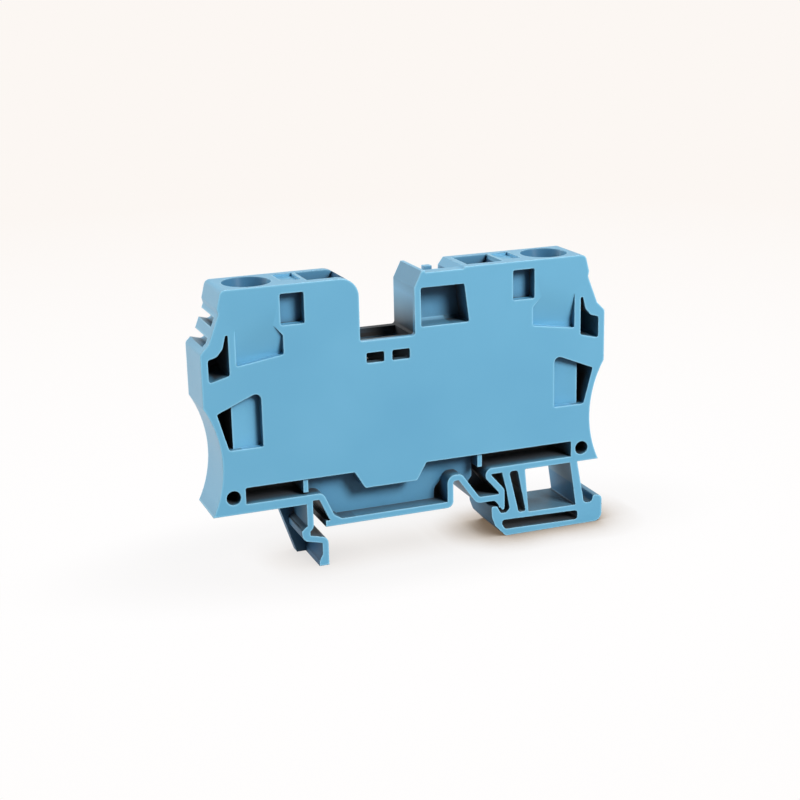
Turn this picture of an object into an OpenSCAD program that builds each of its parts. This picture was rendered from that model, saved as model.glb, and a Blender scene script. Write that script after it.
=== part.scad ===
// Feed-through terminal block with two spring clamps, for a 35 mm top-hat rail.
// Millimetres: x across the rail, y along the rail, z up from the foot.
// The closed side faces -y. Depths are measured from that side towards the open side.

/* [Overall] */
// Length across the rail
body_l = 73.5; // [68:0.5:84]
// Thickness along the rail
body_t = 10; // [9:0.5:14]
// Height from the foot to the tower tops
body_h = 50; // [47:0.5:60]

/* [Walls] */
// Closed side wall in front of notches, sockets and driver slots
front_wall = 1.7; // [1.2:0.1:2.2]
// Wall left behind the deep pockets on the open side
back_wall = 1.4; // [0.8:0.1:2]
// Wall between a recess and the chamber behind it
web = 0.9; // [0.6:0.1:1.4]
// Wall between the end hollow and the pockets beside it
end_wall = 1.4; // [0.8:0.1:2]

/* [Ends] */
// Radius of the hollow in each end
hollow_r = 20; // [18:0.5:30]
// Reach of the hollow in from the end
hollow_in = 2.75; // [2:0.05:3.4]
// Height of the hollow's middle
hollow_z = 20.5; // [18:0.5:22]
// Drop from the tower top to the widest part of the end
shoulder_drop = 10.25; // [10:0.25:12.5]
// Set-back of the tower top from the end
shoulder_in = 3.9; // [3:0.1:5]
// Half height of a marker notch
notch_r = 0.8; // [0.5:0.05:1]
// Diameter of the holes that line up neighbouring blocks
peg_d = 2.5; // [1.5:0.1:3.2]
// Distance of those holes from the end
peg_in = 4.3; // [3.8:0.1:4.6]
// Height of those holes
peg_z = 14.6; // [14.2:0.1:15]

/* [Valley] */
// Middle of the valley between the towers
valley_x = -4.35; // [-6:0.05:-3]
// Width of the valley
valley_w = 9.9; // [8:0.1:12]
// Depth of the valley below the tower tops
valley_h = 11; // [8:0.25:13]
// Radius of the left tower's inner shoulder
tower_r = 3.25; // [1:0.25:6]
// Width of the bevel on the right tower's inner edge
bevel_w = 1.4; // [0.6:0.1:2]
// Height of that bevel
bevel_h = 2.8; // [1:0.1:4]
// Width of the ridge between that bevel and the marker channel
ridge_w = 0.6; // [0.3:0.1:1.2]
// Width of a jumper socket in the valley floor
socket_w = 3.2; // [2:0.1:3.6]
// Wall between the two sockets
socket_gap = 1.45; // [1:0.05:2]
// Drop from the valley floor to the top of that wall
socket_gap_drop = 2.5; // [1:0.1:3.4]
// Valley floor left at each end of the sockets' shared mouth
socket_end = 0.4; // [0.3:0.05:1]
// Drop from the valley floor to the sockets' side windows
socket_window_drop = 2.1; // [1.2:0.1:3]
// Height of those windows
socket_window_h = 1.8; // [1:0.1:2.4]

/* [Wire entries] */
// Distance of a wire entry from the end
wire_in = 9.6; // [9:0.1:11]
// Mouth diameter of a wire entry
mouth_d = 8.3; // [7:0.1:9]
// Throat diameter of a wire entry
throat_d = 5.4; // [4:0.1:6]
// Height of the funnel from mouth to throat
funnel_h = 5.5; // [3:0.25:6.5]
// Length of the throat
throat_l = 3; // [2:0.25:3.5]
// Distance of a driver slot from the end
driver_in = 22.35; // [21.5:0.05:23]
// Mouth width of a driver slot
driver_mouth = 6.6; // [4:0.1:7]
// Width of the driver slot's throat
driver_throat = 1.7; // [1.2:0.1:2.5]

/* [Side recesses] */
// Depth of the small square windows
square_d = 2.2; // [1:0.1:5.5]
// Depth of the creased recess at its crease
crease_d = 1.1; // [0.6:0.1:3]
// Depth of the ramped recess at its inner end
ramp_deep = 1.5; // [1:0.1:4.5]
// Depth of the ramped recess at its outer end
ramp_shallow = 1; // [0.4:0.1:2]
// Depth of the large window in the right tower
window_d = 4.4; // [2.5:0.1:5.5]
// Depth of the recess above the rail seat
seat_recess_d = 3.2; // [1.5:0.1:5]

/* [Rail foot] */
// Width of the mounting rail
rail_w = 35; // [33:0.25:36]
// Thickness of the mounting rail
rail_t = 1; // [0.8:0.1:1.5]
// Play between the rail and the hooks
rail_play = 0.15; // [0:0.05:0.3]
// Middle of the rail
rail_x = -1.6; // [-2.5:0.1:-1]
// Height of the rail seat above the foot
seat_z = 7; // [6.5:0.1:8]
// Thickness of the foot's webs
band_t = 1.1; // [0.8:0.05:1.4]
// Rise from the rail seat to the underside of the spring strips
strip_rise = 5.1; // [4.6:0.1:6]
// Thickness of the latch's spring strip
latch_strip_t = 1.6; // [1.1:0.05:1.9]
// Gap between the arch and the wall beside it
flex_gap = 1.3; // [0.6:0.1:1.8]
// Gap between the spring strips and what stops them
stop_gap = 0.45; // [0.3:0.05:0.8]
// Height of the slots above the spring strips
slot_h = 2.9; // [2:0.1:3.4]
// Distance of those slots from the end
slot_in = 6.4; // [6:0.1:7]
// Width of the tab over the rail seat
tab_w = 9.6; // [6:0.1:12]
// Drop of the tab below the side wall's edge
tab_drop = 3.1; // [1.5:0.1:3.6]
// Thickness of the plate that stiffens the latch
latch_plate_t = 2; // [1:0.1:4]

/* [Clamp] */
// Thickness of the current bar
bar_t = 2; // [1.2:0.1:2.4]
// Gap between the bar's upright end and the wire entry's axis
bar_gap = 4.2; // [3.5:0.1:4.6]
// Height of the bar's low run
bar_z = 21; // [20.5:0.1:22]
// Height of the bar's upright ends
bar_rise = 15; // [12:0.25:16]
// Room around the bar in its channel
bar_play = 0.2; // [0.1:0.05:0.4]
// Thickness of the spring strip
spring_t = 0.8; // [0.5:0.05:1]
// Width of the spring loop, middle to middle of the strip
loop_w = 5.4; // [4.5:0.1:6]
// Height of the clamping leg
leg_z = 27; // [26:0.1:29]
// Width of each side rail of the spring's window
rail_side = 1; // [0.6:0.1:1.3]
// Room between the metal parts and the walls beside them
metal_play = 0.3; // [0.1:0.05:0.5]

/* [Hidden] */
$fn = 64;

housing_blue = [0.42, 0.67, 0.81];
tinned_copper = [0.78, 0.77, 0.74];
spring_steel = [0.7, 0.71, 0.72];
eps = 0.01;
over = 1;

half_l = body_l / 2;
rail_left = rail_x - rail_w / 2;
rail_right = rail_x + rail_w / 2;
valley_l = valley_x - valley_w / 2;
valley_r = valley_x + valley_w / 2;
valley_z = body_h - valley_h;
strip_z = seat_z + strip_rise;
strip_mid = strip_z + band_t / 2;
strip_top = strip_z + band_t;
latch_low = strip_top - latch_strip_t;
wall_low = strip_top + slot_h;
tab_low = wall_low - tab_drop;
base_mid = seat_z + band_t / 2;
pocket_d = body_t - back_wall;
wire_x = half_l - wire_in;
driver_x = half_l - driver_in;

// Metal parts share one middle plane between the chamber floor and the open side
chamber_d = front_wall + web;
spring_front = chamber_d + metal_play;
spring_w = body_t - metal_play - spring_front;
metal_mid = spring_front + spring_w / 2;
window_w = spring_w - 2 * rail_side;
bar_w = window_w - bar_play;
bar_front = metal_mid - bar_w / 2;
bar_out = wire_x - bar_gap;
bar_mid = bar_out - bar_t / 2;
bar_top = bar_z + bar_rise;
hump_z = valley_z - socket_window_drop - socket_window_h - 2.6;
tongue_x = bar_out - bar_t - spring_t / 2;
loop_x = tongue_x - loop_w;
loop_top = bar_top + loop_w / 2;

// Chambers that are open on the open side
chamber_in = driver_x - driver_throat / 2 - web;
chamber_out = bar_out + 2.1;
loop_roof = loop_top + spring_t / 2 + 1.9;
wire_floor = ramp_deep + web;
wire_out = half_l - 5.75;
throat_low = body_h - funnel_h - throat_l;
wire_low = wall_low + 1.4;

// Unit vector, and the left-hand normal of the line from p to q
function unit(v) = v / norm(v);
function normal(p, q) = let (u = unit(q - p)) [-u.y, u.x];

// Corner b of a path from a to c as an arc of radius r, kept within its two sides
function turn(a, b, c, r) =
    let (
        steps = r > 1.4 ? 10 : r > 0.6 ? 6 : 4,
        u = unit(a - b),
        v = unit(c - b),
        half_angle = acos(u * v) / 2,
        run = min(r / tan(half_angle), 0.49 * norm(a - b), 0.49 * norm(c - b)),
        radius = run * tan(half_angle),
        centre = b + unit(u + v) * radius / sin(half_angle),
        from = b + u * run - centre,
        to = b + v * run - centre,
        start = atan2(from.y, from.x),
        sweep = atan2(from.x * to.y - from.y * to.x, from * to)
    )
    [for (i = [0:steps]) centre + radius * [cos(start + sweep * i / steps), sin(start + sweep * i / steps)]];

function flat(p) = [p.x, p.y];

// Path of [x, z, radius] points with its corners rounded
function smooth(path, closed = true) =
    let (n = len(path), last = n - 1)
    [for (i = [0:last])
        let (ends = !closed && (i == 0 || i == last), r = len(path[i]) > 2 ? path[i].z : 0)
        each ends || r == 0
            ? [flat(path[i])]
            : turn(flat(path[(i + last) % n]), flat(path[i]), flat(path[(i + 1) % n]), r)];

// Outline of a strip of thickness t that follows an open path
function side(path, i) =
    i == 0 ? normal(path[0], path[1])
    : i == len(path) - 1 ? normal(path[i - 1], path[i])
    : let (a = normal(path[i - 1], path[i]), b = normal(path[i], path[i + 1])) (a + b) / (1 + a * b);
function strip(path, t) = concat(
    [for (i = [0:len(path) - 1]) path[i] + side(path, i) * t / 2],
    [for (i = [len(path) - 1:-1:0]) path[i] - side(path, i) * t / 2]);

// Plate between two depths, from a shape drawn in x and z
module slab(d0, d1) {
    translate([0, d1 - body_t / 2, 0])
        rotate([90, 0, 0])
            linear_extrude(d1 - d0)
                children();
}

// Prism between two x positions, from a shape drawn in depth and z
module across(x0, x1) {
    translate([x0, -body_t / 2, 0])
        rotate([90, 0, 90])
            linear_extrude(x1 - x0)
                children();
}

// Prism between two heights, from a shape drawn in x and depth
module upright(z0, z1) {
    translate([0, -body_t / 2, z0])
        linear_extrude(z1 - z0)
            children();
}

// Block between two corners given as x, depth and z
module block(low, high) {
    translate([low.x, low.y - body_t / 2, low.z])
        cube(high - low);
}

module both_ends() {
    children();
    mirror([1, 0, 0]) children();
}

module shape(path) {
    polygon(smooth(path));
}

// Strip of the foot's web thickness: the radii are those of the inside of each bend
module band(path) {
    bent = [for (p = path) len(p) > 2 ? [p.x, p.y, p.z + band_t / 2] : p];
    polygon(strip(smooth(bent, closed = false), band_t));
}

// x of the end face at a height, where the hollow cuts it
function end_x(z) =
    min(half_l, half_l - hollow_in + hollow_r - sqrt(pow(hollow_r, 2) - pow(z - hollow_z, 2)));

// Side wall with both towers, down to the slots and the tab over the rail seat
function end_path(side, low) = [
    [side * half_l, low],
    [side * half_l, body_h - shoulder_drop, 0.8],
    [side * (half_l - shoulder_in + 2.4), body_h - shoulder_drop + 1.5, 0.9],
    [side * (half_l - shoulder_in + 0.55), body_h - 3.9, 0.4],
    [side * (half_l - shoulder_in + 0.75), body_h - 3, 0.5],
    [side * (half_l - shoulder_in), body_h, 1]];
function reversed(list) = [for (i = [len(list) - 1:-1:0]) list[i]];

wall_path = concat(
    end_path(1, strip_z),
    [
        [valley_r + bevel_w, body_h],
        [valley_r, body_h - bevel_h, 0.3],
        [valley_r, valley_z, 0.5],
        [valley_l, valley_z, 0.3],
        [valley_l, body_h, tower_r]
    ],
    reversed(end_path(-1, latch_low)),
    [
        [-half_l + slot_in, latch_low],
        [-half_l + slot_in, wall_low, 0.3],
        [valley_x - tab_w / 2 - 1.8, wall_low, 0.4],
        [valley_x - tab_w / 2, tab_low, 0.5],
        [valley_x + tab_w / 2, tab_low, 0.5],
        [valley_x + tab_w / 2 + 1.8, wall_low, 0.4],
        [half_l - slot_in, wall_low, 0.3],
        [half_l - slot_in, strip_z]
    ]);

module side_wall() {
    difference() {
        shape(wall_path);
        both_ends() translate([half_l - hollow_in + hollow_r, hollow_z]) circle(hollow_r, $fn = 200);
    }
}

// Latch: strip from the end block, stem, hook round the rail's edge, and tip
latch_x = rail_left - rail_play;
module latch() {
    strip_start = -half_l + slot_in - 0.6;
    translate([strip_start, latch_low])
        square([latch_x + band_t / 2 - strip_start, latch_strip_t]);
    band([
        [strip_start, strip_mid],
        [latch_x + 2.1, strip_mid, 0.25],
        [latch_x + 3.9, base_mid + 1, 0.35],
        [latch_x + 5.6, base_mid]]);
    band([
        [latch_x, strip_mid],
        [latch_x, seat_z + 0.35, 0.2],
        [latch_x - 1.1, seat_z - 0.45, 0.2],
        [latch_x - 0.9, seat_z - rail_t - 0.55, 0.2],
        [latch_x + 2.55, seat_z - rail_t - 1.4, 0.2],
        [latch_x + 2.55, 0]]);
    shape([
        [latch_x - 1.7, seat_z - 0.1, 0.3],
        [latch_x - 0.1, seat_z + 0.2],
        [latch_x - 0.1, seat_z - rail_t - 0.15],
        [latch_x - 1.4, seat_z - rail_t - 0.4, 0.3]]);
    shape([
        [latch_x + 1.35, 0],
        [latch_x + 2.6, 0],
        [latch_x + 2.6, 2.2],
        [latch_x + 2.05, 2.2],
        [latch_x + 1.35, 0.9, 0.4]]);
}

// Plate behind the latch that joins its strip, stem and tip
module latch_plate() {
    shape([
        [latch_x - 4.45, strip_mid],
        [latch_x - 0.25, 0],
        [latch_x + 2.6, 0],
        [latch_x + 2.6, seat_z - rail_t - 1.5],
        [latch_x - 0.6, seat_z - rail_t - 0.5],
        [latch_x, seat_z + 0.3],
        [latch_x, strip_mid]]);
}

// Rail seat, arched spring web and inner hook
foot_x = rail_right + rail_play;
arch_x = foot_x - 9.35;
arch_z = strip_mid - 0.25;
module seat() {
    band([
        [latch_x + 2.75, base_mid],
        [arch_x, base_mid, 0.1],
        [arch_x, arch_z, 0.4],
        [arch_x + 1.9, arch_z, 0.15],
        [arch_x + 5.3, base_mid, 0.7],
        [foot_x + 0.6, base_mid]]);
    band([
        [half_l - slot_in + 0.6, strip_mid],
        [foot_x - 2.85, strip_mid, 0.15],
        [foot_x + 0.55, seat_z + 1.7, 0.3],
        [foot_x + 0.55, seat_z - rail_t - 0.4]]);
    shape([
        [foot_x - 0.9, seat_z],
        [foot_x + 0.7, seat_z + 1],
        [foot_x + 1.1, seat_z - rail_t - 0.7, 0.2],
        [foot_x + 0.75, seat_z - rail_t - 1.1, 0.2],
        [foot_x + 0.1, seat_z - rail_t - 0.2, 0.3],
        [foot_x - 0.45, seat_z - 0.4, 0.2]]);
}

// Foot with its lip under the rail, slots, window and release ear
module foot() {
    difference() {
        shape([
            [foot_x + 0.55, strip_mid],
            [foot_x + 0.7, strip_z - 0.2],
            [foot_x + 1.5, seat_z + 1.6, 2],
            [foot_x + 2.1, seat_z - 1.9, 0.6],
            [foot_x + 1.4, seat_z - 2.6, 0.5],
            [foot_x + 0.35, seat_z - 2.55, 0.5],
            [foot_x - 0.35, seat_z - rail_t - 0.2, 0.3],
            [foot_x - 1.45, seat_z - rail_t - 0.1, 0.2],
            [foot_x - 1.4, seat_z - 3, 2],
            [foot_x - 0.75, 2.2, 1.5],
            [foot_x + 1.3, 0, 0.6],
            [half_l, 0, 1.5],
            [half_l, 4.9, 0.9],
            [half_l - 1.7, 5.2, 0.3],
            [half_l - 2.15, 3.9, 0.6],
            [half_l - 3.65, 3.9, 0.7],
            [half_l - slot_in + 1.3, strip_z],
            [half_l - slot_in + 1.3, strip_mid]]);
        shape([
            [foot_x + 2, strip_z, 0.5],
            [foot_x + 3.7, strip_z, 0.5],
            [foot_x + 5.3, 4.1, 0.4],
            [foot_x + 3.9, 4.1, 0.5]]);
        shape([
            [foot_x + 5.15, strip_z, 0.2],
            [half_l - 6.55, strip_z, 0.2],
            [half_l - 5.35, 3.8, 0.2],
            [foot_x + 5.85, 3.9, 0.2]]);
        shape([
            [foot_x + 0.15, 3.1, 0.7],
            [half_l - 4.95, 2.7, 0.6],
            [half_l - 4.95, 0.95, 0.6],
            [foot_x + 1.2, 1.3, 0.5]]);
    }
}

// Wall set back above the rail seat, round the arch
stop_w = 0.85;
fill_left = latch_x - 0.05;
fill_right = foot_x - 3.95;
flex_x = arch_x - band_t / 2 - flex_gap;
module seat_wall() {
    shape([
        [fill_left, strip_mid],
        [latch_x + 2.1, strip_mid],
        [latch_x + 3.9, base_mid + 1],
        [latch_x + 5.6, base_mid],
        [flex_x, base_mid],
        [flex_x, arch_z - 2.4, 1.5],
        [arch_x + 0.3, arch_z - 0.2],
        [arch_x + 1.9, arch_z],
        [arch_x + 4.1, arch_z - 3],
        [fill_right, arch_z - 1.2],
        [fill_right, wall_low + 0.6],
        [fill_left, wall_low + 0.6]]);
}

// Stops that limit the travel of the two spring strips
module strip_stops() {
    for (x = [fill_left - stop_w, fill_right - eps])
        translate([x, strip_top + stop_gap])
            square([stop_w + eps, slot_h]);
}

// Skirts that close the slots and the room beside the arch towards the open side; the one by the arch is thicker
module strip_skirts() {
    low = strip_top + stop_gap;
    for (span = [[-half_l + slot_in, fill_left], [fill_right, half_l - slot_in]])
        translate([span[0] - eps, low])
            square([span[1] - span[0] + 2 * eps, slot_h]);
}
module arch_skirt() {
    low = strip_top + stop_gap;
    shape([
        [fill_right - 0.5, low + slot_h / 2],
        [fill_right + 0.3, low + slot_h / 2],
        [fill_right + 0.3, strip_mid - 0.1],
        [foot_x - 0.45, seat_z + band_t + 0.4],
        [foot_x - 3.1, seat_z + band_t + 0.4],
        [arch_x + 4.5, arch_z - 1.8]]);
}

// Recesses in the closed side, right-hand end
creased_path = [
    [half_l - 5.95, body_h - 6.7, 0.3],
    [half_l - 5.95, body_h - 12.9, 0.3],
    [half_l - 14.05, body_h - 11.7, 0.4],
    [half_l - 14.05, body_h - 8.4, 0.5],
    [half_l - 12.5, body_h - 6.7, 0.3]];
module creased_recess() {
    intersection() {
        slab(-over, crease_d + eps) shape(creased_path);
        across(half_l - 15, half_l - 5)
            polygon([
                [-over, body_h - 6.6],
                [0, body_h - 6.7],
                [crease_d, body_h - 11.3],
                [crease_d, body_h - 13],
                [-over, body_h - 13]]);
    }
}

module upper_pocket() {
    slab(-over, pocket_d)
        shape([
            [half_l - 4.75, body_h - 7.5, 0.2],
            [half_l - 4.3, body_h - 7.5, 0.2],
            [half_l - 3.75, body_h - 9.7, 1.2],
            [half_l - 2.7, body_h - 10.9, 1.2],
            [half_l - 1.2, body_h - 11.3, 0.5],
            [half_l - 1.2, body_h - 15.2, 0.4],
            [half_l - 4.75, body_h - 14.3, 0.5]]);
}

ramp_top = body_h - 17.4;
ramp_low = body_h - 27.1;
ramp_in = half_l - 9.85;
ramp_edge = half_l - 4.9;
module ramped_recess() {
    intersection() {
        slab(-over, pocket_d)
            shape([
                [end_x(ramp_top - 3.2) - end_wall - 0.15, ramp_top - 3.2, 0.3],
                [ramp_in, ramp_top, 1],
                [ramp_in, ramp_low, 0.3],
                [end_x(ramp_low) - end_wall, ramp_low, 0.5]]);
        upright(ramp_low - over, ramp_top + over)
            polygon([
                [ramp_in - over, -over],
                [ramp_in - over, ramp_deep],
                [ramp_in, ramp_deep],
                [ramp_edge, ramp_shallow],
                [ramp_edge, body_t],
                [half_l, body_t],
                [half_l, -over]]);
    }
}

module square_window() {
    slab(-over, square_d)
        shape([
            [half_l - 13.75, body_h - 1.5, 0.3],
            [half_l - 13.75, body_h - 6.8, 0.3],
            [half_l - 17.85, body_h - 6.8, 0.3],
            [half_l - 17.85, body_h - 1.5, 0.3]]);
}

// Slots for marker tags in the sloping end, behind the closed side wall
module marker_notches() {
    for (at = [[half_l - 3.9, body_h - 5.7], [half_l - 2.55, body_h - 9]])
        slab(front_wall, body_t + over)
            translate(at) {
                circle(notch_r);
                rotate(14) translate([0, -notch_r]) square([4, 2 * notch_r]);
            }
}

// Funnel and throat for the wire, and the chamber where it meets the bar
module wire_entry() {
    translate([wire_x, 0, body_h - funnel_h])
        cylinder(h = funnel_h + eps, d1 = throat_d, d2 = mouth_d);
    translate([wire_x, 0, throat_low - eps])
        cylinder(h = throat_l + 2 * eps, d = throat_d);
    block([bar_out + bar_play, wire_floor, wire_low], [wire_out, body_t + over, throat_low]);
}

// Tapered slot for the driver that opens the clamp, and the shallow pocket beside it
module driver_slot() {
    slab(front_wall, pocket_d)
        translate([driver_x, 0])
            polygon([
                [-driver_mouth / 2, body_h + over],
                [-driver_mouth / 2, body_h - 0.5],
                [-driver_throat / 2, body_h - 6.5],
                [-driver_throat / 2, loop_roof - over],
                [driver_throat / 2, loop_roof - over],
                [driver_throat / 2, body_h - 6.5],
                [driver_mouth / 2, body_h - 0.5],
                [driver_mouth / 2, body_h + over]]);
    block([half_l - 18.45, front_wall + 1.2, body_h - 0.5], [half_l - 15.05, pocket_d, body_h + over]);
}

// Room for the spring, with a post inside its loop
module spring_chamber() {
    difference() {
        slab(chamber_d, body_t + over) {
            shape([
                [chamber_in, bar_z + bar_t / 2 + 0.5, 0.6],
                [chamber_in, loop_roof, 1],
                [bar_out - 1.1, loop_roof, 1],
                [bar_out - 1.1, bar_top + 0.4],
                [chamber_out, bar_top + 0.4, 0.5],
                [chamber_out, bar_z + bar_t / 2 + 0.5, 0.6]]);
        }
        slab(0, body_t - 1)
            shape([
                [loop_x + 1.5, leg_z + 3.6, 0.8],
                [loop_x + 1.5, loop_top - 3.2, 1.2],
                [tongue_x - 1.5, loop_top - 3.2, 1.2],
                [tongue_x - 1.5, leg_z + 3.6, 0.8]]);
    }
}

// Middle line of the current bar: low runs, a hump under the valley, upright ends
bend_r = bar_t / 2 + 0.8;
bar_path = [
    [-bar_mid, bar_top],
    [-bar_mid, bar_z, bend_r],
    [valley_l - bar_t / 2, bar_z, bend_r],
    [valley_l - bar_t / 2, hump_z, bend_r],
    [valley_r + bar_t / 2, hump_z, bend_r],
    [valley_r + bar_t / 2, bar_z, bend_r],
    [bar_mid, bar_z, bend_r],
    [bar_mid, bar_top]];
function stretched(path, more) = let (n = len(path)) [for (i = [0:n - 1])
    i == 0 || i == n - 1 ? [path[i].x, path[i].y + more] : path[i]];

module bar_channel() {
    slab(bar_front, body_t + over)
        polygon(strip(smooth(stretched(bar_path, bar_play), closed = false), bar_t + 2 * bar_play));
}

// Jumper sockets under one mouth in the valley floor, with their windows in the closed side
socket_xs = [for (s = [-1, 1]) valley_x + s * (socket_gap + socket_w) / 2];
module jumper_sockets() {
    block(
        [valley_l + socket_end, front_wall, valley_z - socket_gap_drop],
        [valley_r - socket_end, pocket_d, valley_z + over]);
    for (x = socket_xs) {
        block(
            [x - socket_w / 2, front_wall, hump_z + bar_t / 2 - eps],
            [x + socket_w / 2, pocket_d, valley_z + over]);
        slab(-over, front_wall + eps)
            translate([x, valley_z - socket_window_drop - socket_window_h])
                shape([
                    [-socket_w / 2, 0, 0.3],
                    [socket_w / 2, 0, 0.3],
                    [socket_w / 2, socket_window_h, 0.3],
                    [-socket_w / 2, socket_window_h, 0.3]]);
    }
}

// Large window in the right tower, with a sloping edge along its foot, under the marker channel's sloping floor
channel_slope = 0.2;
window_top = body_h - 2.9;
window_l = valley_r + 1.15;
window_r = window_l + 8.85;
window_low = body_h - 9.65;
module tower_window() {
    intersection() {
        slab(-over, window_d)
            shape([
                [window_l, window_low, 0.3],
                [window_l, window_top, 0.4],
                [window_r - 0.85, window_top, 0.3],
                [window_r, window_low, 0.3]]);
        across(window_l - over, window_r + over)
            polygon([
                [-over, window_low - over],
                [-over, window_top + 0.5],
                [0, window_top],
                [body_t, window_top - channel_slope * body_t],
                [body_t, window_low + 0.5],
                [window_d, window_low + 0.5],
                [window_d - 0.4, window_low],
                [window_d - 0.4, window_low - over]]);
    }
}

// Channel for a marker across the right tower's top, with a post at its open end
module marker_channel() {
    beam_d = front_wall + 0.6;
    floor_z = body_h - 1 - channel_slope * beam_d;
    post_l = valley_r + 5.3;
    channel_l = valley_r + bevel_w + ridge_w;
    channel_r = valley_r + 8.4;
    difference() {
        intersection() {
            across(channel_l, channel_r + 2)
                polygon([
                    [-over, body_h + over],
                    [-over, body_h - 0.35],
                    [beam_d, body_h - 0.35],
                    [beam_d, floor_z],
                    [body_t + over, floor_z - channel_slope * (body_t + over - beam_d)],
                    [body_t + over, body_h + over]]);
            slab(-over, body_t + over)
                polygon([
                    [channel_l, body_h - 6],
                    [channel_r, body_h - 6],
                    [channel_r, body_h - 1.3],
                    [channel_r + 1, body_h],
                    [channel_r + 1, body_h + over],
                    [channel_l, body_h + over]]);
        }
        block([post_l, pocket_d, body_h - 5], [post_l + 1.4, body_t, body_h - 1.1]);
    }
}

// Hollows on the open side that keep the walls of even thickness
module cored_hollows() {
    slab(seat_recess_d + 1.6, body_t + over)
        shape([
            [latch_x + 5.8, base_mid + 1.4, 0.6],
            [flex_x - 1.2, base_mid + 1.4, 0.6],
            [flex_x - 1.2, wall_low + 1.8, 0.6],
            [latch_x + 5.8, wall_low + 1.8, 0.6]]);
    slab(chamber_d, body_t + over)
        shape([
            [valley_r + bar_t + 1.2, bar_z + bar_t / 2 + 1.2, 0.8],
            [chamber_in - 1.2, bar_z + bar_t / 2 + 1.2, 0.8],
            [chamber_in - 1.2, body_h - 11.4, 0.8],
            [valley_r + bar_t + 1.2, body_h - 11.4, 0.8]]);
    slab(window_d + 1.3, body_t + over)
        shape([
            [window_l + 0.2, body_h - 9.8, 0.6],
            [window_r - 1, body_h - 9.8, 0.6],
            [window_r - 1, body_h - 4.8, 0.6],
            [window_l + 0.2, body_h - 4.8, 0.6]]);
}

module housing() {
    color(housing_blue)
        difference() {
            union() {
                slab(0, body_t) {
                    side_wall();
                    latch();
                    seat();
                    foot();
                }
                slab(body_t - latch_plate_t, body_t) latch_plate();
                slab(seat_recess_d, body_t) seat_wall();
                slab(0.4, body_t) strip_stops();
                slab(pocket_d, body_t) strip_skirts();
                slab(pocket_d - 3.2, body_t) arch_skirt();
            }
            both_ends() {
                creased_recess();
                upper_pocket();
                ramped_recess();
                square_window();
                marker_notches();
                wire_entry();
                driver_slot();
                spring_chamber();
                translate([half_l - peg_in, pocket_d - body_t / 2, peg_z])
                    rotate([90, 0, 0])
                        cylinder(h = pocket_d + over, d = peg_d);
            }
            bar_channel();
            jumper_sockets();
            tower_window();
            marker_channel();
            cored_hollows();
        }
}

// Folded strip with a slot under each jumper socket
module current_bar() {
    pin_w = socket_w - 0.6;
    color(tinned_copper)
        difference() {
            slab(bar_front, bar_front + bar_w)
                polygon(strip(smooth(bar_path, closed = false), bar_t));
            for (x = socket_xs)
                block(
                    [x - pin_w / 2, metal_mid - 1.2, hump_z - bar_t],
                    [x + pin_w / 2, metal_mid + 1.2, hump_z + bar_t]);
        }
}

// Folded strip: tongue behind the bar, loop, and a leg whose window goes round bar and wire
module clamp_spring() {
    leg_end = bar_out + 1.7;
    slab(metal_mid - bar_w / 2, metal_mid + bar_w / 2)
        polygon(strip([[tongue_x, bar_z + bar_t / 2 + 1.6], [tongue_x, bar_top - 1]], spring_t));
    difference() {
        slab(spring_front, spring_front + spring_w)
            polygon(strip(smooth([
                [tongue_x, bar_top - 1 - eps],
                [tongue_x, loop_top, loop_w / 2],
                [loop_x, loop_top, loop_w / 2],
                [loop_x, leg_z, 2.4],
                [leg_end, leg_z]], closed = false), spring_t));
        block(
            [tongue_x - spring_t / 2 - 0.4, metal_mid - window_w / 2, leg_z - spring_t],
            [bar_out + 0.05, metal_mid + window_w / 2, leg_z + spring_t]);
    }
}

module clamp_spring_right() {
    color(spring_steel) clamp_spring();
}

module clamp_spring_left() {
    color(spring_steel) mirror([1, 0, 0]) clamp_spring();
}

housing();
current_bar();
clamp_spring_left();
clamp_spring_right();
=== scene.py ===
import math

import bmesh
import bpy
from mathutils import Matrix, Vector


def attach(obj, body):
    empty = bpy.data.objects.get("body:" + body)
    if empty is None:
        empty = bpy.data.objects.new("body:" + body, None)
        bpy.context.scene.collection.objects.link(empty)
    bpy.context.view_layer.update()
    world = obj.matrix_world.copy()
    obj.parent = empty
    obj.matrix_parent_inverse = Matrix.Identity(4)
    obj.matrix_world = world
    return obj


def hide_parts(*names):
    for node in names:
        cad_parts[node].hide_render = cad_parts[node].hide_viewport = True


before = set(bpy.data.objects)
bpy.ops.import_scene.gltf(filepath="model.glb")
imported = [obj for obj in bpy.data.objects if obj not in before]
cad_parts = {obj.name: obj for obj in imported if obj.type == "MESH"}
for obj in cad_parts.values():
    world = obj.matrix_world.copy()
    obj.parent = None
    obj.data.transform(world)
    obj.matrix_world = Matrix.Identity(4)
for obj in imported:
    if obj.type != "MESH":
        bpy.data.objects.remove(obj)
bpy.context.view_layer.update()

MM = 0.001
scene = bpy.context.scene


# Colours
def linear(r, g, b):
    """A display colour of 0 to 255 as the renderer's own values."""
    def one(c):
        c = c / 255
        return c / 12.92 if c <= 0.04045 else ((c + 0.055) / 1.055) ** 2.4
    return (one(r), one(g), one(b), 1.0)


def grey(value):
    """A share of 0 to 1 as a colour."""
    return (value, value, value, 1)


BLACK = grey(0)
WHITE = grey(1)

BLUE_LOW = linear(95, 166, 204)
BLUE = linear(99, 170, 207)
BLUE_HIGH = linear(103, 173, 210)
# Painted highlight: a paler blue for convex edges
EDGE_HIGHLIGHT_BLUE = linear(138, 202, 234)
# Painted shade: colours for the tower slant, slots, recesses, level faces, the foot window, the deepest
# places and the valley wall
SLANT_SHADE_BLUE = linear(52, 122, 156)
SLOT_SHADE = linear(48, 40, 40)
RECESS_SHADE = linear(30, 84, 122)
LEVEL_SHADE = linear(36, 40, 46)
FOOT_SHADE = linear(92, 98, 100)
DEEPEST_SHADE = linear(26, 20, 18)
VALLEY_WALL_SHADE = linear(98, 92, 88)

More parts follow.
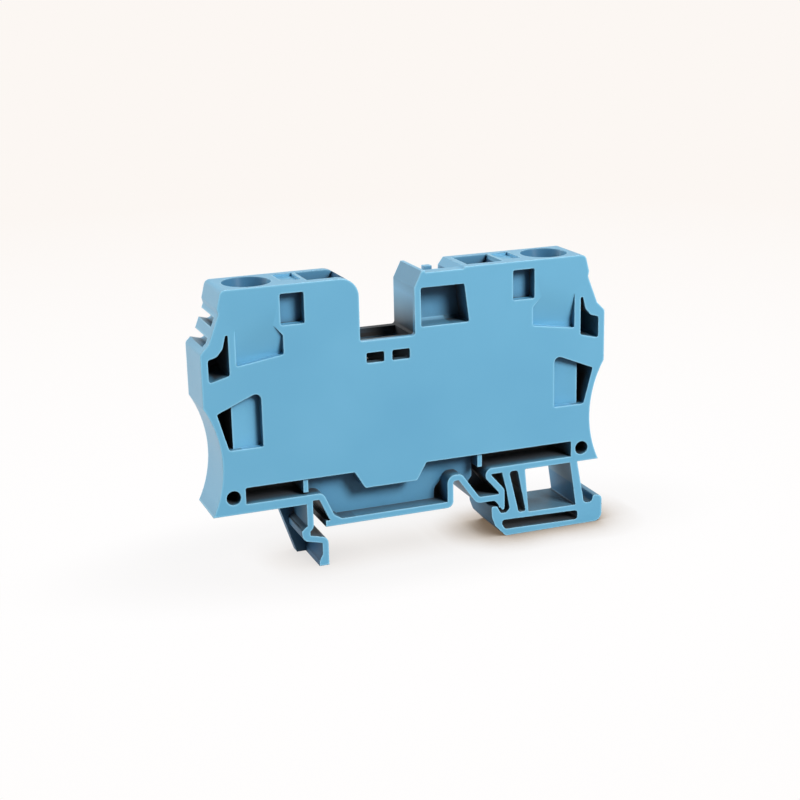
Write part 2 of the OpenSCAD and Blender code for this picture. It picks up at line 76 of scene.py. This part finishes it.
TIN_LOW = linear(196, 194, 186)
TIN_HIGH = linear(214, 211, 202)
STEEL_LOW = linear(176, 178, 180)
STEEL_HIGH = linear(196, 198, 200)

CARD_NEAR = linear(255, 254, 254)
CARD_FAR = linear(252, 247, 243)
# Painted contact shadow on the floor
CONTACT_SHADOW_DARK = linear(116, 100, 82)
CONTACT_SHADOW_SOFT = linear(208, 198, 187)
FLOOR_BODY = (0.20, 0.18, 0.16, 1)
WARM_LIGHT = (1.0, 0.985, 0.96)

# Moulded and stamped pieces, copied from the frame's nodes
MERGE_MM = 0.002
FLAT_ANGLE = math.radians(0.6)
SHARP_ANGLE = math.radians(32)
BAR_EDGE_MM = 0.12
SPRING_EDGE_MM = 0.08


def finished(node, name, width_mm=0.0):
    """A smoothly shaded copy of a node in its place, with sharp edges rounded where a width is given."""
    bm = bmesh.new()
    bm.from_mesh(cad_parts[node].data)
    bmesh.ops.scale(bm, vec=(1 / MM,) * 3, verts=bm.verts)
    bmesh.ops.remove_doubles(bm, verts=bm.verts, dist=MERGE_MM)
    if width_mm:
        bmesh.ops.dissolve_limit(
            bm, angle_limit=FLAT_ANGLE, verts=bm.verts, edges=bm.edges, use_dissolve_boundaries=False)
    sharp = [e for e in bm.edges if e.is_manifold and e.calc_face_angle() > SHARP_ANGLE]
    for face in bm.faces:
        face.smooth = True
    if width_mm:
        bmesh.ops.bevel(
            bm, geom=sharp, offset=width_mm, offset_type="OFFSET", segments=2, profile=0.5,
            affect="EDGES", clamp_overlap=True, loop_slide=True)
    else:
        for edge in sharp:
            edge.smooth = False
    bmesh.ops.scale(bm, vec=(MM,) * 3, verts=bm.verts)
    mesh = bpy.data.meshes.new(name)
    bm.to_mesh(mesh)
    bm.free()
    if "custom_normal" in mesh.attributes:
        mesh.attributes.remove(mesh.attributes["custom_normal"])
    piece = bpy.data.objects.new(name, mesh)
    scene.collection.objects.link(piece)
    weighted = piece.modifiers.new("weighted_normals", "WEIGHTED_NORMAL")
    weighted.mode = "FACE_AREA"
    weighted.keep_sharp = True
    weighted.weight = 60
    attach(piece, "root")
    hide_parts(node)
    return piece


# Nodes of a material or of the world
NOISE_ROUGHNESS = 0.55
NOISE_SPAN = (0.3, 0.7)
OPENNESS_SAMPLES = 12


class Graph:
    """A node tree with short ways to add to it. A value may be a socket or a constant."""

    def __init__(self, tree):
        self.nodes = tree.nodes
        self.links = tree.links

    def add(self, kind, **settings):
        node = self.nodes.new("ShaderNode" + kind)
        for name, value in settings.items():
            setattr(node, name, value)
        return node

    def feed(self, socket, value):
        if isinstance(value, bpy.types.NodeSocket):
            self.links.new(value, socket)
        else:
            socket.default_value = value

    def math(self, operation, first, second=None):
        node = self.add("Math", operation=operation)
        self.feed(node.inputs[0], first)
        if second is not None:
            self.feed(node.inputs[1], second)
        return node.outputs[0]

    def product(self, *factors):
        total = factors[0]
        for factor in factors[1:]:
            total = self.math("MULTIPLY", total, factor)
        return total

    def largest(self, *values):
        most = values[0]
        for value in values[1:]:
            most = self.math("MAXIMUM", most, value)
        return most

    def run(self, value, span, first=0.0, second=1.0, curve="LINEAR"):
        """Goes from the first value to the second while the input crosses a span."""
        node = self.add("MapRange", interpolation_type=curve)
        names = ("Value", "From Min", "From Max", "To Min", "To Max")
        for name, given in zip(names, (value, *span, first, second)):
            self.feed(node.inputs[name], given)
        return node.outputs["Result"]

    def run_mm(self, value, span_mm, first=0.0, second=1.0):
        start, end = span_mm
        return self.run(value, (start * MM, end * MM), first, second)

    def ramp(self, value, stops):
        """Colour ramp with (position, colour) stops."""
        node = self.add("ValToRGB")
        self.links.new(value, node.inputs["Fac"])
        elements = node.color_ramp.elements
        elements[0].position, elements[0].color = stops[0]
        elements[1].position, elements[1].color = stops[-1]
        for position, colour in stops[1:-1]:
            elements.new(position).color = colour
        return node.outputs["Color"]

    def mixed(self, share, first, second, blend="MIX"):
        """The first colour where the share is 0 and the second where it is 1."""
        node = self.add("Mix", data_type="RGBA", blend_type=blend)
        self.feed(node.inputs["Factor"], share)
        colours = [socket for socket in node.inputs if socket.type == "RGBA"]
        self.feed(colours[0], first)
        self.feed(colours[1], second)
        return next(socket for socket in node.outputs if socket.type == "RGBA")

    def mixed_shader(self, share, first, second):
        node = self.add("MixShader")
        for socket, value in zip(node.inputs, (share, first, second)):
            self.links.new(value, socket)
        return node.outputs["Shader"]

    def parts(self, vector):
        """The X, Y and Z of a vector."""
        node = self.add("SeparateXYZ")
        self.links.new(vector, node.inputs["Vector"])
        return [node.outputs[axis] for axis in "XYZ"]

    def length(self, vector):
        node = self.add("VectorMath", operation="LENGTH")
        self.links.new(vector, node.inputs[0])
        return node.outputs["Value"]

    def mapped(self, vector, kind="POINT", **values):
        node = self.add("Mapping", vector_type=kind)
        for name, value in values.items():
            node.inputs[name].default_value = value
        self.links.new(vector, node.inputs["Vector"])
        return node.outputs["Vector"]

    def noise(self, where, scale, detail):
        node = self.add("TexNoise")
        node.inputs["Scale"].default_value = scale
        node.inputs["Detail"].default_value = detail
        node.inputs["Roughness"].default_value = NOISE_ROUGHNESS
        self.links.new(where, node.inputs["Vector"])
        return node.outputs["Fac"]

    def bump(self, height, strength, distance_mm, normal=None):
        node = self.add("Bump")
        node.inputs["Strength"].default_value = strength
        node.inputs["Distance"].default_value = distance_mm * MM
        self.links.new(height, node.inputs["Height"])
        if normal is not None:
            self.links.new(normal, node.inputs["Normal"])
        return node.outputs["Normal"]

    def openness(self, reach_mm, inside=False, whole=False, towards=None):
        """How open a spot is, from 0 in a deep slot to 1 on a flat face, all round or towards one side."""
        node = self.add("AmbientOcclusion", only_local=not whole, inside=inside, samples=OPENNESS_SAMPLES)
        node.inputs["Distance"].default_value = reach_mm * MM
        if towards is not None:
            aim = self.add("CombineXYZ")
            for axis, part in zip("XYZ", towards):
                aim.inputs[axis].default_value = part
            self.links.new(aim.outputs["Vector"], node.inputs["Normal"])
        return node.outputs["AO"]

    def seen_directly(self, also):
        """1 for rays from the camera and for one more kind of ray."""
        path = self.add("LightPath")
        return self.largest(path.outputs["Is Camera Ray"], path.outputs[also])


def new_material(name):
    material = bpy.data.materials.new(name)
    material.use_nodes = True
    return material, Graph(material.node_tree), material.node_tree.nodes["Principled BSDF"]


# Polyamide of the housing: scales of its grain, and (strength, depth in millimetres) of its relief
CLOUD_SCALE = 55
WAVE_SCALE = 240
GRAIN_SCALE = 5200
WAVE_RELIEF = (0.10, 0.10)
GRAIN_RELIEF = (0.22, 0.02)
EDGE_HIGHLIGHT_REACH_MM = 0.45
EDGE_RADIUS_MM = 0.18
SATIN_ROUGHNESS = (0.36, 0.48)
SLOT_ROUGHNESS = grey(0.9)
CLOUD_STOPS = ((0.30, BLUE_LOW), (0.55, BLUE), (0.75, BLUE_HIGH))
EDGE_HIGHLIGHT_STOPS = ((0.50, WHITE), (0.90, BLACK))

# Painted shade: share of the body colour that a spot keeps, by how open it is; the rest turns to a shade
# colour
SLOT_REACH_MM = 10.0
# Painted shadow: openness towards the key lamp's side, which darkens the top and right of recesses
LAMP_REACH_MM = 8.0
LAMP_SIDE = (0.39, -0.74, 0.55)
BEHIND_STOPS = ((0.05, BLACK), (0.30, grey(0.36)), (0.75, WHITE))
AHEAD_STOPS = ((0.10, BLACK), (0.36, grey(0.34)), (0.70, WHITE))
SIDEWAYS_STOPS = ((0.16, BLACK), (0.72, WHITE))
UPWARD_STOPS = ((0.22, BLACK), (0.52, WHITE))
SHADE_STOPS = ((0.22, SLOT_SHADE), (0.42, RECESS_SHADE))

# Which way a spot faces, from its normal
FLAT_STOPS = ((0.35, BLACK), (0.85, WHITE))
LEVEL_STOPS = ((0.35, BLACK), (0.70, WHITE))
TURNED = -0.3

# Places on the housing where painted shade is laid or held back, as spans in millimetres; out is the
# distance from the middle, to both sides
PLACES = {
    "entry": {"out": (22.3, 32.0), "y": (-3.2, 4.75), "z": (42.0, 49.85)},
    "driver_slot": {"out": (10.8, 17.6), "y": (-2.6, 4.4), "z": (40.0, 49.85)},
    "marker_seat": {"out": (18.2, 22.3), "y": (-4.7, 4.7), "z": (48.3, 49.9)},
    "rail_seat": {"x": (None, 12.0), "y": (-2.4, None), "z": (None, 15.0)},
    "latch": {"x": (None, -11.0)},
    "foot_notch": {"x": (30.8, None)},
    "foot_window": {"x": (20.5, 30.8), "z": (3.9, 12.5)},
    "window_ledge": {"x": (1.4, 7.6), "z": (40.0, 41.2)},
    "recess_sill": {"out": (11.0, 30.5), "y": (None, -3.2), "z": (22.0, None)},
    "valley": {"x": (-9.6, 0.7), "y": (-4.1, None), "z": (37.5, None)},
    "sockets": {"x": (-8.6, -0.2), "y": (-4.6, 4.6), "z": (33.5, 38.2)},
    "tower_slant": {"x": (0.3, 3.2), "y": (-4.75, 4.9), "z": (45.5, 49.95)},
}

# Painted shade: share of the body colour that a whole place keeps, or is lifted to where the painted shade
# is held back
ENTRY_SHARE = 0.74
ENTRY_GLOSS = 0.1
DRIVER_SHARE = 0.80
DRIVER_END_SHARE = 0.10
MARKER_SHARE = 0.85
RAIL_SEAT_SHARE = 0.62
NOTCH_SHARE = 0.02
SOCKET_SHARE = 0.25

# Fades of painted shade inside a place: a span in millimetres, and the shares of body colour at its ends
FOOT_ROOT_MM = (19.0, 22.0)
FOOT_ROOT_SHARES = (0.10, 0.28)
FOOT_RISE_MM = (1.0, 14.0)
LATCH_RISE_MM = (3.0, 11.0)
LATCH_SHARES = (0.20, 1.0)
TOWER_OUT_MM = (18.0, 22.0)
TOWER_SHARES = (0.60, 0.32)
DEPTH_MM = (-0.5, 3.0)
END_MM = (34.0, 35.0)
END_SHARES = (0.0, 0.62)
LEDGE_RISE_MM = (40.4, 40.9)
LEDGE_SHARES = (0.45, 1.0)
SLANT_RISE_MM = (45.5, 47.5)
SLANT_SHARES = (0.0, 0.62)
VALLEY_ALONG_MM = (-9.0, -4.0)
VALLEY_FLOOR_SHARES = (0.22, 0.04)
VALLEY_RISE_MM = (39.3, 45.5)
VALLEY_SHADE_TONE_MM = (39.3, 42.5)


class Spot:
    """Where a spot of the housing lies and which way it faces, for painting shade on it by place."""

    def __init__(self, graph, where):
        self.graph = graph
        self.x, self.y, self.z = graph.parts(where)
        self.out = graph.math("ABSOLUTE", self.x)
        aside, along, upward = graph.parts(graph.add("NewGeometry").outputs["Normal"])
        self.flat = graph.ramp(graph.math("ABSOLUTE", along), FLAT_STOPS)
        self.level = graph.ramp(upward, LEVEL_STOPS)
        self.front = graph.math("LESS_THAN", along, TURNED)
        self.leftward = graph.math("LESS_THAN", aside, TURNED)

    def inside(self, place):
        """1 inside a named place and 0 outside."""
        tests = []
        for axis, (lowest, highest) in PLACES[place].items():
            value = getattr(self, axis)
            if lowest is not None:
                tests.append(self.graph.math("GREATER_THAN", value, lowest * MM))
            if highest is not None:
                tests.append(self.graph.math("LESS_THAN", value, highest * MM))
        return self.graph.product(*tests)

    def kept(self, mask, share):
        """The share where the mask is 1, and 1 elsewhere."""
        value = share if isinstance(share, bpy.types.NodeSocket) else grey(share)
        return self.graph.mixed(mask, WHITE, value)


def unshaded_share(graph, spot, open_to, entry):
    """How much of the body colour a spot keeps under painted shade: 1 on open faces, less in slots,
    recesses and the foot.
    """
    behind = graph.ramp(open_to, BEHIND_STOPS)
    ahead = graph.ramp(graph.openness(LAMP_REACH_MM, towards=LAMP_SIDE), AHEAD_STOPS)
    sideways = graph.ramp(open_to, SIDEWAYS_STOPS)
    upward = graph.ramp(open_to, UPWARD_STOPS)

    # Faces across the thickness, with painted shade that darkens them towards the ground on the foot and
    # the latch
    foot_low = graph.run_mm(spot.x, FOOT_ROOT_MM, *FOOT_ROOT_SHARES)
    foot_low = graph.mixed(spot.inside("foot_notch"), foot_low, grey(NOTCH_SHARE))
    foot = graph.run_mm(spot.z, FOOT_RISE_MM, foot_low)
    latch = spot.kept(spot.inside("latch"), graph.run_mm(spot.z, LATCH_RISE_MM, *LATCH_SHARES))
    across = graph.product(graph.mixed(spot.level, sideways, upward), foot, latch)

    # Faces along the rail, with painted shade that darkens them the further in they lie behind the front
    farthest = graph.run_mm(spot.out, TOWER_OUT_MM, *TOWER_SHARES)
    inner = graph.run_mm(spot.y, DEPTH_MM, 1.0, farthest)
    inner = graph.mixed(spot.inside("rail_seat"), inner, grey(RAIL_SEAT_SHARE))
    along = graph.mixed(spot.front, behind, ahead)
    share = graph.product(graph.mixed(spot.flat, across, along), spot.kept(spot.front, inner))

    # Painted shade in the openings in the tower tops
    driver = spot.inside("driver_slot")
    driver_end = graph.product(driver, spot.leftward)
    openings = ((entry, ENTRY_SHARE), (driver, DRIVER_SHARE), (driver_end, DRIVER_END_SHARE))
    for mask, kept in openings:
        share = graph.product(share, spot.kept(mask, kept))

    # Places where the painted shade is held back
    marker = graph.mixed(spot.inside("marker_seat"), BLACK, grey(MARKER_SHARE))
    ends = graph.run_mm(spot.out, END_MM, *END_SHARES)
    ledge_rise = graph.run_mm(spot.z, LEDGE_RISE_MM, *LEDGE_SHARES)
    ledge = graph.product(spot.level, spot.inside("window_ledge"), ledge_rise)
    sill = graph.product(spot.level, spot.inside("recess_sill"))
    return graph.largest(share, marker, ends, ledge, sill)


def valley_share(graph, spot):
    """How much of its colour a spot keeps under painted shade in the valley between the towers and in the
    sockets below it.
    """
    floor_share = graph.run_mm(spot.x, VALLEY_ALONG_MM, *VALLEY_FLOOR_SHARES)
    walls = graph.run_mm(spot.z, VALLEY_RISE_MM, floor_share)
    valley = spot.kept(spot.inside("valley"), walls)
    return graph.product(valley, spot.kept(spot.inside("sockets"), SOCKET_SHARE))


def polyamide():
    """Blue moulded polyamide: satin grain, faint flow clouds, painted highlights on the edges, painted
    shade in slots, recesses and named places.
    """
    material, graph, shader = new_material("blue_polyamide")
    where = graph.add("TexCoord").outputs["Object"]
    clouds = graph.noise(where, CLOUD_SCALE, detail=2)
    grain = graph.noise(where, GRAIN_SCALE, detail=2)
    waves = graph.noise(where, WAVE_SCALE, detail=1)
    spot = Spot(graph, where)

    # Painted highlight: convex edges turn a paler blue
    edge = graph.ramp(graph.openness(EDGE_HIGHLIGHT_REACH_MM, inside=True), EDGE_HIGHLIGHT_STOPS)
    body = graph.mixed(edge, graph.ramp(clouds, CLOUD_STOPS), EDGE_HIGHLIGHT_BLUE)
    # Painted shade: slots and recesses turn towards a dark shade colour by how closed they are
    open_to = graph.openness(SLOT_REACH_MM)
    shade = graph.mixed(spot.level, graph.ramp(open_to, SHADE_STOPS), LEVEL_SHADE)
    shade = graph.mixed(spot.inside("foot_window"), shade, FOOT_SHADE)
    entry = spot.inside("entry")
    unshaded = unshaded_share(graph, spot, open_to, entry)
    colour = graph.mixed(unshaded, shade, body)

    # Painted shade: the slanted face at the top of the right tower's inner wall turns a darker blue
    slant_rise = graph.run_mm(spot.z, SLANT_RISE_MM, *SLANT_SHARES)
    slant_shade = graph.product(spot.inside("tower_slant"), spot.leftward, slant_rise)
    colour = graph.mixed(slant_shade, colour, SLANT_SHADE_BLUE)
    # Painted shade in the valley and the sockets: darkest at the valley floor, lighter up the walls
    valley = valley_share(graph, spot)
    valley_shade_tone = graph.mixed(graph.run_mm(spot.z, VALLEY_SHADE_TONE_MM), DEEPEST_SHADE, VALLEY_WALL_SHADE)
    graph.feed(shader.inputs["Base Color"], graph.mixed(valley, valley_shade_tone, colour))

    satin = graph.run(grain, NOISE_SPAN, *SATIN_ROUGHNESS)
    smooth = graph.product(unshaded, valley, spot.kept(entry, ENTRY_GLOSS))
    graph.feed(shader.inputs["Roughness"], graph.mixed(smooth, SLOT_ROUGHNESS, satin))

    rim = graph.add("Bevel", samples=6)
    rim.inputs["Radius"].default_value = EDGE_RADIUS_MM * MM
    soft = graph.bump(waves, *WAVE_RELIEF, normal=rim.outputs["Normal"])
    graph.feed(shader.inputs["Normal"], graph.bump(grain, *GRAIN_RELIEF, normal=soft))
    shader.inputs["IOR"].default_value = 1.5
    shader.inputs["Specular IOR Level"].default_value = 0.5
    shader.inputs["Coat Weight"].default_value = 0.3
    shader.inputs["Coat Roughness"].default_value = 0.3
    return material


# Rolled strip of the bar and the springs, with its lines drawn out along the rolling direction
LINE_SCALE = 900
BLOTCH_SCALE = 260
STRIP_RELIEF = (0.12, 0.02)
STRIP_SHADE_REACH_MM = 6.0
STRIP_SHADE_STOPS = ((0.10, grey(0.03)), (0.60, WHITE))
TIN_ROUGHNESS = (0.30, 0.44)
TIN_ROLLING = (1, 0.08, 1)
STEEL_ROUGHNESS = (0.20, 0.34)
STEEL_ROLLING = (1, 0.05, 1)


def strip_metal(name, low, high, roughness, rolling):
    """Rolled strip: fine lines along the rolling direction over faint clouds, with painted shade where it
    lies deep.
    """
    material, graph, shader = new_material(name)
    where = graph.add("TexCoord").outputs["Object"]
    lines = graph.noise(graph.mapped(where, Scale=rolling), LINE_SCALE, detail=4)
    clouds = graph.noise(where, BLOTCH_SCALE, detail=3)
    # Painted shade: the metal turns near-black where it lies deep
    unshaded = graph.ramp(graph.openness(STRIP_SHADE_REACH_MM, whole=True), STRIP_SHADE_STOPS)
    metal = graph.ramp(clouds, tuple(zip(NOISE_SPAN, (low, high))))
    graph.feed(shader.inputs["Base Color"], graph.mixed(unshaded, DEEPEST_SHADE, metal))
    graph.feed(shader.inputs["Roughness"], graph.run(lines, NOISE_SPAN, *roughness))
    graph.feed(shader.inputs["Normal"], graph.bump(lines, *STRIP_RELIEF))
    shader.inputs["Metallic"].default_value = 1.0
    return material


housing = finished("housing", "housing_moulding")
bar = finished("current_bar", "current_bar_strip", BAR_EDGE_MM)
spring_left = finished("clamp_spring_left", "clamp_spring_left_strip", SPRING_EDGE_MM)
spring_right = finished("clamp_spring_right", "clamp_spring_right_strip", SPRING_EDGE_MM)

# The bar's hump lies against the roof of its channel
HUMP_LOW_MM = 32.0
HUMP_HIGH_MM = 33.5
HUMP_GAP_MM = 0.18
for vertex in bar.data.vertices:
    height = vertex.co.z / MM
    if height > HUMP_LOW_MM:
        vertex.co.z += HUMP_GAP_MM * MM * (height - HUMP_LOW_MM) / (HUMP_HIGH_MM - HUMP_LOW_MM)

blue = polyamide()
tin = strip_metal("tinned_copper", TIN_LOW, TIN_HIGH, TIN_ROUGHNESS, TIN_ROLLING)
steel = strip_metal("spring_steel", STEEL_LOW, STEEL_HIGH, STEEL_ROUGHNESS, STEEL_ROLLING)
for piece, material in ((housing, blue), (bar, tin), (spring_left, steel), (spring_right, steel)):
    piece.data.materials.append(material)

# Camera, fitted to the photograph: angles in degrees, distances in millimetres
CAMERA_ANGLES = (-20.666, 16.244, -1.304)
CAMERA_TARGET_MM = (-2.416, -5, 27.954)
CAMERA_DISTANCE_MM = 265.136
SENSOR_WIDTH = 36
FOCAL_LENGTH = 69.75


def camera():
    azimuth, elevation, roll = (math.radians(angle) for angle in CAMERA_ANGLES)
    level = math.cos(elevation)
    back = Vector((math.sin(azimuth) * level, -math.cos(azimuth) * level, math.sin(elevation)))
    right = Vector((math.cos(azimuth), math.sin(azimuth), 0))
    up = back.cross(right)
    turned = right * math.cos(roll) + up * math.sin(roll)
    upright = up * math.cos(roll) - right * math.sin(roll)
    data = bpy.data.cameras.new("camera")
    data.sensor_width = SENSOR_WIDTH
    data.lens = FOCAL_LENGTH
    data.clip_start = 0.01
    data.clip_end = 20
    obj = bpy.data.objects.new("camera", data)
    scene.collection.objects.link(obj)
    place = Matrix((turned, upright, back)).transposed().to_4x4()
    place.translation = Vector(CAMERA_TARGET_MM) * MM + back * CAMERA_DISTANCE_MM * MM
    obj.matrix_world = place
    scene.camera = obj


# Floor: warm white to the camera, with the object's own shadow, and a painted, tinted shadow where it
# stands
FLOOR_SIZE = 12
FLOOR_CENTRE = (0, 3, 0)
CARD_SPAN = (0.06, 0.40)
CARD_STOPS = ((0.0, CARD_NEAR), (1.0, CARD_FAR))
CONTACT_SHADOW_REACH_MM = 9
CONTACT_SHADOW_STOPS = ((0.30, CONTACT_SHADOW_DARK), (0.70, CONTACT_SHADOW_SOFT), (1.00, WHITE))
FOOT_SIDE_MM = (4, 14)
CONTACT_SHADOW_SHARES = (0.24, 1.0)
SHADOW_CENTRE = (-0.002, 0.003, 0)
SHADOW_RADII = (0.045, 0.018, 1)
SHADOW_SPAN = (0.7, 1.6)
GLOW_SHARES = (0.92, 1.0)


def floor():
    bpy.ops.mesh.primitive_plane_add(size=FLOOR_SIZE, location=FLOOR_CENTRE)
    plane = bpy.context.object
    plane.name = "floor"
    material, graph, shader = new_material("floor_card")
    shader.inputs["Base Color"].default_value = FLOOR_BODY
    shader.inputs["Roughness"].default_value = 0.9
    shader.inputs["Specular IOR Level"].default_value = 0.1
    place = graph.add("NewGeometry").outputs["Position"]

    card = graph.ramp(graph.run(graph.length(place), CARD_SPAN), CARD_STOPS)
    # Painted shadow: the floor's white turns brown-grey where the object stands close, strongest beside the
    # foot
    contact_shadow = graph.ramp(graph.openness(CONTACT_SHADOW_REACH_MM, whole=True), CONTACT_SHADOW_STOPS)
    under_foot = graph.run_mm(graph.parts(place)[0], FOOT_SIDE_MM, *CONTACT_SHADOW_SHARES)
    painted_shadow = graph.mixed(under_foot, WHITE, contact_shadow)
    glow = graph.add("Emission")
    graph.feed(glow.inputs["Color"], graph.mixed(1.0, card, painted_shadow, blend="MULTIPLY"))

    away = graph.length(graph.mapped(place, "TEXTURE", Location=SHADOW_CENTRE, Scale=SHADOW_RADII))
    fade = graph.run(away, SHADOW_SPAN, *GLOW_SHARES, curve="SMOOTHSTEP")
    share = graph.product(graph.seen_directly("Is Glossy Ray"), fade)
    surface = graph.mixed_shader(share, shader.outputs["BSDF"], glow.outputs["Emission"])
    graph.feed(graph.nodes["Material Output"].inputs["Surface"], surface)
    plane.data.materials.append(material)


# Surroundings: a soft light from the back, and a warm white wall to the camera
BRIGHT_SIDE = (-0.3, 0.95, 0)
BRIGHT_SPAN = (-0.05, 0.70)
BRIGHT_STRENGTHS = (0.04, 0.80)


def surroundings():
    world = bpy.data.worlds.new("studio")
    scene.world = world
    world.use_nodes = True
    graph = Graph(world.node_tree)
    light = graph.nodes["Background"]
    light.inputs["Color"].default_value = (*WARM_LIGHT, 1)
    towards = graph.add("VectorMath", operation="DOT_PRODUCT")
    graph.feed(towards.inputs[0], graph.add("TexCoord").outputs["Generated"])
    graph.feed(towards.inputs[1], BRIGHT_SIDE)
    strength = graph.run(towards.outputs["Value"], BRIGHT_SPAN, *BRIGHT_STRENGTHS, curve="SMOOTHSTEP")
    graph.feed(light.inputs["Strength"], strength)
    wall = graph.add("Background")
    wall.inputs["Color"].default_value = CARD_FAR
    wall.inputs["Strength"].default_value = 1.0
    seen = graph.seen_directly("Is Transmission Ray")
    surface = graph.mixed_shader(seen, light.outputs["Background"], wall.outputs["Background"])
    graph.feed(graph.nodes["World Output"].inputs["Surface"], surface)


# Lamps, aimed at the middle of the object
LAMP_TARGET = (0, 0, 0.025)


def lamp(name, place, size, power):
    data = bpy.data.lights.new(name, "AREA")
    data.shape = "DISK"
    data.size = size
    data.energy = power
    data.color = WARM_LIGHT
    obj = bpy.data.objects.new(name, data)
    scene.collection.objects.link(obj)
    obj.location = place
    aim = Vector(LAMP_TARGET) - Vector(place)
    obj.rotation_euler = aim.to_track_quat("-Z", "Y").to_euler()


camera()
floor()
surroundings()
lamp("key", place=(0.371, -0.70, 0.55), size=0.36, power=11.2)
lamp("left", place=(-0.74, 0.45, 0.45), size=0.70, power=6.6)
scene.view_settings.view_transform = "Standard"
